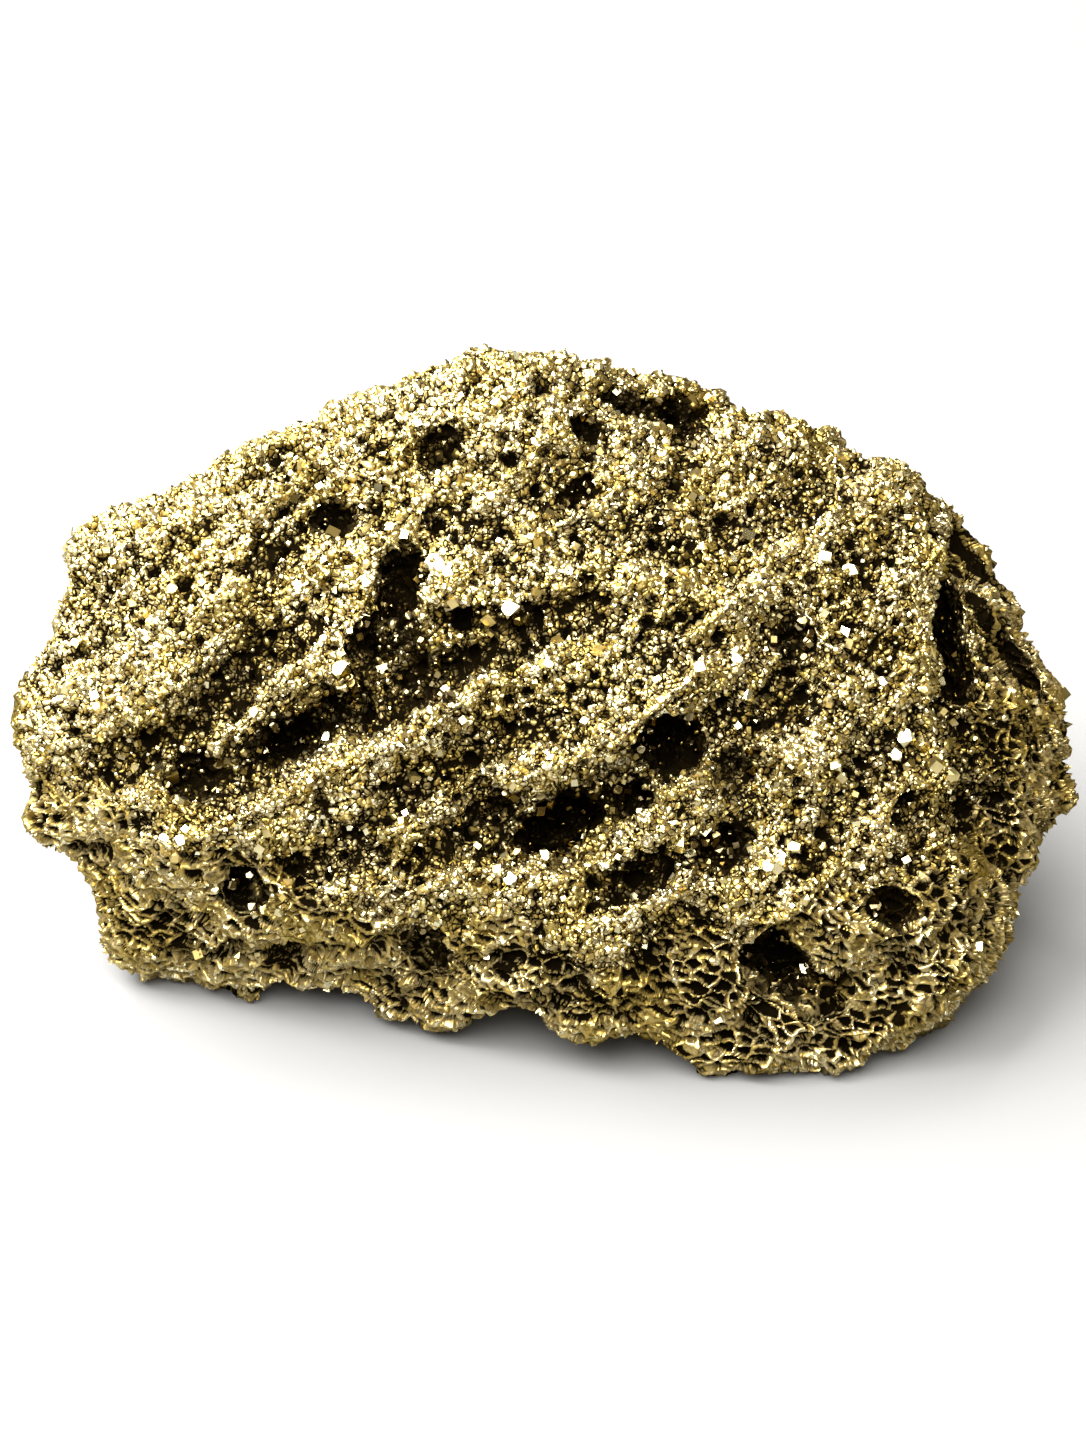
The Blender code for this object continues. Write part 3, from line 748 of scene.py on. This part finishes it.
# The softboxes: where each stands from the lump, in degrees from the camera's side and above
# level, with its distance and size in metres
softboxes = {
    "key": {"azimuth": -120, "elevation": 50, "distance": 0.60, "size": (0.76, 0.56), "radiance": 16.8},
    "front": {"azimuth": -25, "elevation": 60, "distance": 0.62, "size": (0.78, 0.56), "radiance": 12.0},
    "low": {"azimuth": -15, "elevation": 16, "distance": 0.70, "size": (0.60, 0.18), "radiance": 1.5},
    "side": {"azimuth": 95, "elevation": 40, "distance": 0.62, "size": (0.10, 0.30), "radiance": 3.0},
}


def softboxWay(box):
    az, el = math.radians(box["azimuth"]), math.radians(box["elevation"])
    return Vector((math.sin(az) * math.cos(el), -math.cos(az) * math.cos(el), math.sin(el)))


# Crystal forms, each about 1 across

def hullForm(corners):
    # the points and flat faces of the body that these corners span
    build = bmesh.new()
    for corner in corners:
        build.verts.new(corner)
    bmesh.ops.convex_hull(build, input=build.verts)
    bmesh.ops.dissolve_limit(build, angle_limit=0.01, verts=build.verts, edges=build.edges)
    bmesh.ops.recalc_face_normals(build, faces=build.faces)
    build.verts.index_update()
    points = np.array([v.co for v in build.verts])
    faces = [[v.index for v in f.verts] for f in build.faces]
    build.free()
    return points, faces


def turned(shape):
    # every sign and cyclic order of three numbers
    found = set()
    for x in (-1, 1):
        for y in (-1, 1):
            for z in (-1, 1):
                p = (x * shape[0], y * shape[1], z * shape[2])
                found |= {p, (p[2], p[0], p[1]), (p[1], p[2], p[0])}
    return sorted(found)


nuggetLook = {"radius": 0.52, "knocks": 0.16, "spread": (0.85, 1.15)}


def nugget(corners):
    # an uneven grain: corners spread evenly over a ball by the golden angle, then knocked about
    look = nuggetLook
    goldenAngle = 2.399963
    n = np.arange(corners)
    tall = 1 - (2 * n + 1) / corners
    wide = np.sqrt(1 - tall ** 2)
    around = n * goldenAngle + rng.uniform(0, 6)
    points = np.stack([np.cos(around) * wide, np.sin(around) * wide, tall], axis=1)
    points += rng.normal(size=points.shape) * look["knocks"]
    return hullForm((points * look["radius"] * rng.uniform(*look["spread"], (corners, 1))).tolist())


def scaledForm(size, corners):
    return hullForm([tuple(size * c for c in corner) for corner in corners])


cube = scaledForm(0.41, turned((1, 1, 1)))
cuboctahedron = scaledForm(0.5, turned((0.8, 0.8, 0)))
pyritohedron = scaledForm(0.55, turned((2 / 3, 2 / 3, 2 / 3)) + turned((0, 1, 1 / 3)))


def randomTurns(count):
    # turn matrices from unit quaternions, none likelier than another
    q = rng.normal(size=(count, 4))
    q /= np.linalg.norm(q, axis=1)[:, None]
    w, x, y, z = q.T
    return np.stack([
        1 - 2 * (y * y + z * z), 2 * (x * y - z * w), 2 * (x * z + y * w),
        2 * (x * y + z * w), 1 - 2 * (x * x + z * z), 2 * (y * z - x * w),
        2 * (x * z - y * w), 2 * (y * z + x * w), 1 - 2 * (x * x + y * y)], axis=1).reshape(-1, 3, 3)


# The crust: small crystals grown side by side over the mass
crust = {
    "spacing": 0.78,         # mm
    "tries": 120000,
    "farShare": 0.45,        # how densely they are tried on the far side
    "farWidth": 1.4,         # how much larger they are there
    "webShare": 0.10,        # how densely they are tried on the web
    "webLost": 0.7,          # and the share of those that isn't grown
    "cleaner": 0.8,          # they grow only where there is less dirt and painted shade than this
    "above": 0.25,           # mm above the ground
    "width": 0.48,           # mm, the usual crystal
    "widthSpread": 0.38,
    "widest": 1.4,
    "stretch": (0.80, 1.30),
    "proud": (-0.18, 0.04),  # mm that its middle stands off the mass
    "nuggets": 24,           # different uneven grains
    "shares": {"nugget": 0.66, "cube": 0.22, "cuboctahedron": 0.06, "pyritohedron": 0.06},
    "inHollows": 1.5,        # how much larger crystals grow in hollows
    "hollow": (0.40, 0.75),  # how enclosed it is where that starts and where it is full
    "hollowTarnishAndShade": (1.5, -0.2),     # rise and start of the gold tone, tarnish and painted shade, with how enclosed the place is
    "fill": 0.87,            # of the width, because the forms are a little more than 1 across
    "pieces": 2,
}

# Large crystals, each with one face turned to mirror a softbox to the eye, as in the photo
glintLook = {
    "reach": 0.43,                # from the middle to each small square face, in widths
    "forms": (0.15, 0.18, 0.22),  # half the width of those faces in each of three blunt forms
    "warmest": 0.5,               # the most that one's tone goes from fresh to warm
    "width": 0.70,                # of the width below, because a flash looks wider than its face
    "sunk": 0.10,                 # share of that width that its middle lies behind the surface
    "astray": 0.05,               # how far its face leans from the mirror's way
    "keyEvery": 4,                # every fourth one mirrors the key light, the others the front one
}
# Where each one is: right and up in the picture's plane, and width across, in mm
glints = [
    (-32.7, 10.7, 1.6), (-17.8, 3.6, 2.2), (-17.6, 2.2, 1.5), (-9.2, 4.3, 1.9), (-9.3, 13.0, 2.3),
    (-8.2, 12.2, 1.6), (-2.7, 9.0, 2.4), (-1.6, 8.2, 1.7), (0.7, 4.1, 1.4), (14.2, 3.8, 1.9),
    (17.5, 4.5, 1.7), (13.3, 0.5, 1.6), (25.3, 13.6, 1.7), (27.5, 12.3, 2.1), (32.4, -2.4, 2.4),
    (33.8, -2.9, 1.8), (31.6, -4.0, 1.7), (26.2, -4.9, 1.8), (26.8, -6.0, 1.5), (12.2, -11.7, 2.2),
    (13.2, -12.6, 1.6), (0.4, -12.8, 1.5), (-2.7, -15.0, 1.7), (-3.8, -14.2, 1.4), (-18.9, -2.4, 1.5),
    (-32.0, -11.6, 1.6), (-33.4, -11.4, 1.2), (21.3, -13.1, 1.9), (22.6, -12.2, 1.6), (20.2, -13.8, 1.5),
    (-41.3, 6.0, 1.2), (28.8, 23.2, 1.3), (23.5, -22.9, 1.7), (-25.4, -0.2, 1.2), (-4.4, 19.0, 1.2),
    (-19.2, 6.4, 1.1), (30.4, 2.6, 1.1), (9.8, 24.0, 1.2), (-12.6, 26.0, 1.1), (36.6, -14.8, 1.3),
]
# And crystals that stand in the vugs
vugCrystals = {
    "count": 420,
    "width": (0.4, 0.85),    # mm
    "hollow": (0.42, 0.90),  # how enclosed the places are
    "proud": (-0.3, 0.1),    # mm that the middle stands off the mass
    # crystals in vugs get most of the gold of tarnish and painted shade
    "hollowTarnishAndShade": 0.8,
}


def layCrystals(name, spots, turns, sizes, which, shapes, smooth, attributes, material):
    # every crystal as its own closed body, all in one mesh
    points, faces, soft, start = [], [], [], 0
    values = {key: [] for key in attributes}
    for n, (corners, sides) in enumerate(shapes):
        use = np.nonzero(which == n)[0]
        scaled = corners[None] * sizes[use][:, None, :]
        placed = np.einsum("nij,nkj->nki", turns[use], scaled) + spots[use, None, :]
        points.append(placed.reshape(-1, 3))
        offsets = start + np.arange(len(use)) * len(corners)
        for side in sides:
            faces.append(offsets[:, None] + np.array(side)[None])
            soft.append(np.full(len(use), smooth[n]))
        for key, value in attributes.items():
            values[key].append(np.repeat(value[use], len(corners)))
        start += len(use) * len(corners)
    points = np.concatenate(points)
    points[:, 2] = np.maximum(points[:, 2], 0)
    rows = [row for block in faces for row in block]
    joined = {key: np.concatenate(blocks) for key, blocks in values.items()}
    obj = makePiece(name, points, rows, material, joined)
    obj.data.polygons.foreach_set("use_smooth", np.concatenate(soft))
    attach(obj, "root")
    print(name, len(which), "crystals,", sum(len(row) - 2 for row in rows), "triangles")
    return obj


def growCrust(material):
    look = crust
    corners = massPoints[fineTriangles]
    across = np.cross(corners[:, 1] - corners[:, 0], corners[:, 2] - corners[:, 0])
    across /= np.maximum(np.linalg.norm(across, axis=1), 1e-12)[:, None]
    first = fineTriangles[:, 0]
    near = facing(corners.mean(axis=1), fineNormals[first]) > mass["nearFrom"] - 0.2
    onWeb = massFlank[fineTriangles].mean(axis=1) > 0.5
    thin = np.where(near, 1.0, look["farShare"]) * np.where(onWeb, look["webShare"], 1.0)
    spots, pick = surfaceSamples(massPoints, fineTriangles, look["tries"], thin)
    normals = across[pick] + fineNormals[first[pick]]
    normals /= np.linalg.norm(normals, axis=1)[:, None]
    hollow, dirtAndShade, flank = (values[first[pick]] for values in (massHollow, massDirtAndShade, massFlank))
    use = (spots[:, 2] > look["above"] * mm) & (dirtAndShade < look["cleaner"])
    use &= rng.random(len(spots)) > flank * look["webLost"]
    grow = 1 + (look["inHollows"] - 1) * smoothStep(hollow, *look["hollow"])
    grow = grow * np.where(near[pick], 1.0, look["farWidth"])
    spots, normals, hollow, grow = (values[use] for values in (spots, normals, hollow, grow))
    kept = spacedOut(spots, look["spacing"] * mm * grow)
    spots, normals, hollow, grow = (values[kept] for values in (spots, normals, hollow, grow))
    count = len(spots)
    width = look["width"] * np.exp(rng.normal(size=count) * look["widthSpread"])
    width = np.minimum(width, look["widest"]) * grow
    sizes = rng.uniform(*look["stretch"], size=(count, 3)) * width[:, None] * mm * look["fill"]
    middles = spots + normals * (rng.uniform(*look["proud"], count) * mm)[:, None]
    turns = randomTurns(count)
    shapes = [nugget(7 + n % 3) for n in range(look["nuggets"])] + [cube, cuboctahedron, pyritohedron]
    chance = [look["shares"]["nugget"] / look["nuggets"]] * look["nuggets"]
    chance += [look["shares"][key] for key in ("cube", "cuboctahedron", "pyritohedron")]
    which = rng.choice(len(shapes), size=count, p=chance)
    smooth = [n % 4 > 0 for n in range(look["nuggets"])] + [False] * 3
    tone = rng.random(count)
    # the gold of tarnish and painted shade rises with how enclosed the spot is
    rise, start = look["hollowTarnishAndShade"]
    dim = np.clip(hollow * rise + start, 0, 1)
    slab = (np.argsort(np.argsort(spots[:, 0])) * look["pieces"] // count).astype(int)
    for piece in range(look["pieces"]):
        use = slab == piece
        layCrystals(f"crystal_crust_{piece + 1}", middles[use], turns[use], sizes[use], which[use],
                    shapes, smooth, {"tone": tone[use], "hollow": dim[use]}, material)


def turnTo(way):
    # a turn that points a crystal's first axis along way, then spins it by chance
    way = np.array(way)
    side = np.cross(way, rng.normal(size=3))
    side /= np.linalg.norm(side)
    return np.stack([way, side, np.cross(way, side)], axis=1)


def growLargeCrystals(material):
    look = glintLook
    massTree = BVHTree.FromPolygons(massPoints.tolist(), fineTriangles.tolist())
    blunt = [hullForm([tuple(c * rng.uniform(0.85, 1.15) for c in corner)
                       for corner in turned((look["reach"], look["reach"], half))])
             for half in look["forms"]]
    spots, turns, widths, hollows = [], [], [], []
    lights = [softboxWay(softboxes[name]) for name in ("front", "key")]
    for n, (right, up, width) in enumerate(glints):
        ray = (view["middle"] + (rightward * right + upward * up) * mm - eye).normalized()
        spot = massTree.ray_cast(eye, ray)[0]
        if spot is None:
            continue
        light = lights[(n + 1) % look["keyEvery"] == 0]
        way = (light - ray).normalized() + Vector(rng.normal(size=3)) * look["astray"]
        spots.append(np.array(spot + ray * look["sunk"] * width * mm))
        turns.append(turnTo(way.normalized()))
        widths.append(look["width"] * width)
        hollows.append(0.0)
    low, high = vugCrystals["hollow"]
    inside = np.nonzero((skinHollow > low) & (skinHollow < high))[0]
    for n in rng.choice(inside, vugCrystals["count"], replace=False):
        normal = skin.vertices[int(n)].normal
        proud = rng.uniform(*vugCrystals["proud"]) * mm
        spots.append(np.array(skin.vertices[int(n)].co) + np.array(normal) * proud)
        turns.append(randomTurns(1)[0])
        widths.append(rng.uniform(*vugCrystals["width"]))
        hollows.append(vugCrystals["hollowTarnishAndShade"])
    spots, turns, widths, hollows = (np.array(x) for x in (spots, turns, widths, hollows))
    count = len(widths)
    sizes = widths[:, None] * rng.uniform(0.85, 1.15, (count, 3)) * mm
    which = rng.choice(3, size=count)
    layCrystals("large_crystals", spots, turns, sizes, which, blunt, [False] * 3,
                {"tone": rng.random(count) * look["warmest"], "hollow": hollows}, material)


crystalMaterial = makeCrystalMaterial()
growCrust(crystalMaterial)
growLargeCrystals(crystalMaterial)
report("crust")


# The floor and the studio

# Matte white paper: the eye gets an even pale ground with soft shadows. Its colour here is grey,
# because the softboxes light it far past white.
floorLook = {"half": 3.0, "paper": "#787877", "roughness": 0.9}  # half its side in metres
skyLook = {"dim": (0.17, 0.13, 0.045, 1), "seen": (1, 1, 1, 1)}  # golden where the lump mirrors it


def makeFloor():
    look = floorLook
    half = look["half"]
    mesh = bpy.data.meshes.new("floor")
    corners = [(-half, -half, 0), (half, -half, 0), (half, half, 0), (-half, half, 0)]
    mesh.from_pydata(corners, [], [(0, 1, 2, 3)])
    material, tree = newMaterial("matteWhitePaper")
    shader = addNode(tree, "ShaderNodeBsdfPrincipled",
                     {"Base Color": linear(look["paper"]), "Roughness": look["roughness"]})
    addNode(tree, "ShaderNodeOutputMaterial", {}, {"Surface": shader.outputs[0]})
    mesh.materials.append(material)
    obj = bpy.data.objects.new("floor", mesh)
    bpy.context.scene.collection.objects.link(obj)


def makeStudio():
    for name, box in softboxes.items():
        light = bpy.data.lights.new(name, "AREA")
        light.shape = "RECTANGLE"
        light.size, light.size_y = box["size"]
        light.energy = box["radiance"] * math.pi * light.size * light.size_y
        obj = bpy.data.objects.new(name, light)
        way = softboxWay(box)
        obj.location = view["middle"] + way * box["distance"]
        obj.rotation_euler = way.to_track_quat("Z", "Y").to_euler()
        bpy.context.scene.collection.objects.link(obj)
    world = bpy.data.worlds.new("studio")
    bpy.context.scene.world = world
    world.use_nodes = True
    tree = world.node_tree
    tree.nodes.clear()
    dim = addNode(tree, "ShaderNodeBackground", {"Color": skyLook["dim"], "Strength": 1.0})
    pale = addNode(tree, "ShaderNodeBackground", {"Color": skyLook["seen"], "Strength": 1.0})
    seen = addNode(tree, "ShaderNodeLightPath").outputs["Is Camera Ray"]
    mix = addNode(tree, "ShaderNodeMixShader", {}, {0: seen, 1: dim.outputs[0], 2: pale.outputs[0]})
    addNode(tree, "ShaderNodeOutputWorld", {}, {"Surface": mix.outputs[0]})
    bpy.context.scene.view_settings.view_transform = "Standard"


makeFloor()
makeStudio()
report("studio")
